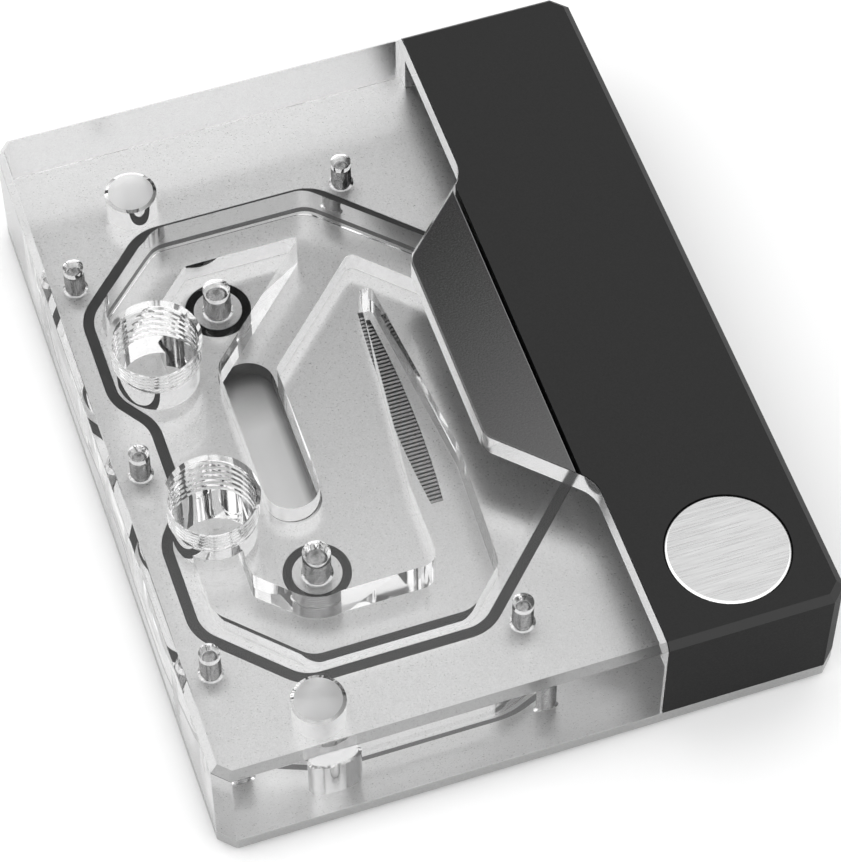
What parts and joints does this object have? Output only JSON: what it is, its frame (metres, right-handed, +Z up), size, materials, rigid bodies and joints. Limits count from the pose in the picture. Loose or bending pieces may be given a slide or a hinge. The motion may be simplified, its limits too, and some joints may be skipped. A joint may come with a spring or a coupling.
{
  "type": "cpu water block",
  "caption": "Processor water block: finned nickel cold plate under a thick clear acrylic top with two threaded ports, with a black cover along one side.",
  "frame": {"origin": "under the middle of the block, on the contact face of the cold plate", "axes": "+X from the port side to the cover side, +Y along the long side away from the badge, +Z up out of the ports"},
  "size_m": [0.0888, 0.1122, 0.0206],
  "materials": {
    "satin_nickel": "fine satin nickel plating on copper",
    "nickel_fins": "nickel-plated copper fins",
    "jet_steel": "thin satin stainless sheet",
    "clear_acrylic": "polished clear acrylic, frosted where a drill has ended",
    "black_rubber": "moulded round-section seal",
    "screw_steel": "plain stainless screw",
    "stud_steel": "plain steel stud",
    "black_anodised": "matt black anodised aluminium",
    "dark_grey_anodised": "dark grey satin anodised aluminium",
    "brushed_badge": "round-brushed disc with a bright edge",
    "magnet": "nickel-plated disc magnet"
  },
  "bodies": {
    "root": {"acrylic_top": "clear_acrylic", "badge": "brushed_badge", "badge_magnet": "magnet", "cold_plate": "satin_nickel", "cover": "black_anodised", "cover_screw_1": "screw_steel", "cover_screw_2": "screw_steel", "fin_comb": "nickel_fins", "inner_screw_1": "screw_steel", "inner_screw_2": "screw_steel", "jet_plate": "jet_steel", "main_seal": "black_rubber", "mount_stud_1": "stud_steel", "mount_stud_2": "stud_steel", "mount_stud_3": "stud_steel", "mount_stud_4": "stud_steel", "name_plate": "dark_grey_anodised", "small_seal_1": "black_rubber", "small_seal_2": "black_rubber", "top_screw_1": "screw_steel", "top_screw_10": "screw_steel", "top_screw_2": "screw_steel", "top_screw_3": "screw_steel", "top_screw_4": "screw_steel", "top_screw_5": "screw_steel", "top_screw_6": "screw_steel", "top_screw_7": "screw_steel", "top_screw_8": "screw_steel", "top_screw_9": "screw_steel"}
  },
  "joints": []
}
